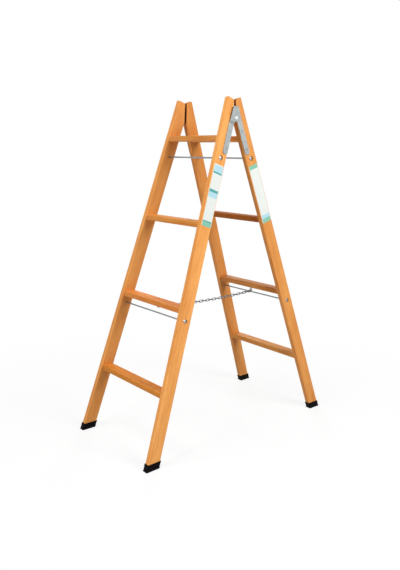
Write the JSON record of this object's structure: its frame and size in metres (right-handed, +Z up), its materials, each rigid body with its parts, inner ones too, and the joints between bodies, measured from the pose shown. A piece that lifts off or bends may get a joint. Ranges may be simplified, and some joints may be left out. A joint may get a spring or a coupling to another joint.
{
  "type": "wooden stepladder",
  "caption": "Wooden scissor stepladder climbed from both sides: two tapered frames with flat rungs, strap hinges at the top, rubber shoes and a safety chain. Folds flat.",
  "frame": {"origin": "on the floor, at the middle of the open ladder's footprint", "axes": "+Z up, X along the rungs with +X to the right seen from the front, Y from the front frame to the rear frame"},
  "size_m": [0.4296, 0.8506, 1.1513],
  "materials": {
    "wood": "planed pine, clear satin lacquer",
    "rubber": "matt black",
    "galvanised_steel": "galvanised, satin",
    "zinc_steel": "bright zinc",
    "chain_steel": "bright zinc"
  },
  "bodies": {
    "front_frame": {"front_stile_left": "wood", "front_stile_right": "wood", "front_rung_1": "wood", "front_rung_2": "wood", "front_rung_3": "wood", "front_rung_4": "wood", "front_foot_left": "rubber", "front_foot_right": "rubber", "front_tie_rod_upper": "zinc_steel", "front_tie_rod_lower": "zinc_steel", "front_tie_rod_washers": "zinc_steel", "front_tie_rod_nuts": "zinc_steel", "front_hinge_strap_left": "galvanised_steel", "front_hinge_strap_right": "galvanised_steel", "front_strap_screws": "zinc_steel", "front_chain_eye": "chain_steel", "hinge_rivets": "galvanised_steel"},
    "rear_frame": {"rear_stile_left": "wood", "rear_stile_right": "wood", "rear_rung_1": "wood", "rear_rung_2": "wood", "rear_rung_3": "wood", "rear_rung_4": "wood", "rear_foot_left": "rubber", "rear_foot_right": "rubber", "rear_tie_rod_upper": "zinc_steel", "rear_tie_rod_lower": "zinc_steel", "rear_tie_rod_washers": "zinc_steel", "rear_tie_rod_nuts": "zinc_steel", "rear_hinge_strap_left": "galvanised_steel", "rear_hinge_strap_right": "galvanised_steel", "rear_strap_screws": "zinc_steel", "rear_chain_eye": "chain_steel"},
    "front_chain": {"front_chain_links": "chain_steel"},
    "rear_chain": {"rear_chain_links": "chain_steel"}
  },
  "joints": [
    {"name": "fold", "type": "hinge", "parent": "front_frame", "child": "rear_frame", "pos_m": [0, 0, 1.08733], "axis": [-1, 0, 0], "range_deg": [0, 37.8], "deforming": ["front_chain_links", "rear_chain_links"]},
    {"name": "front_chain_swing", "type": "hinge", "parent": "front_frame", "child": "front_chain", "pos_m": [0, -0.21544, 0.4748], "axis": [-1, 0, 0], "range_deg": [0, 97.29]},
    {"name": "rear_chain_swing", "type": "hinge", "parent": "rear_frame", "child": "rear_chain", "pos_m": [0, 0.22844, 0.4688], "axis": [1, 0, 0], "range_deg": [0, 111.12]}
  ],
  "couplings": [
    {"joint": "front_chain_swing", "follows": "fold", "ratio": 2.5739},
    {"joint": "rear_chain_swing", "follows": "fold", "ratio": 2.9396}
  ]
}
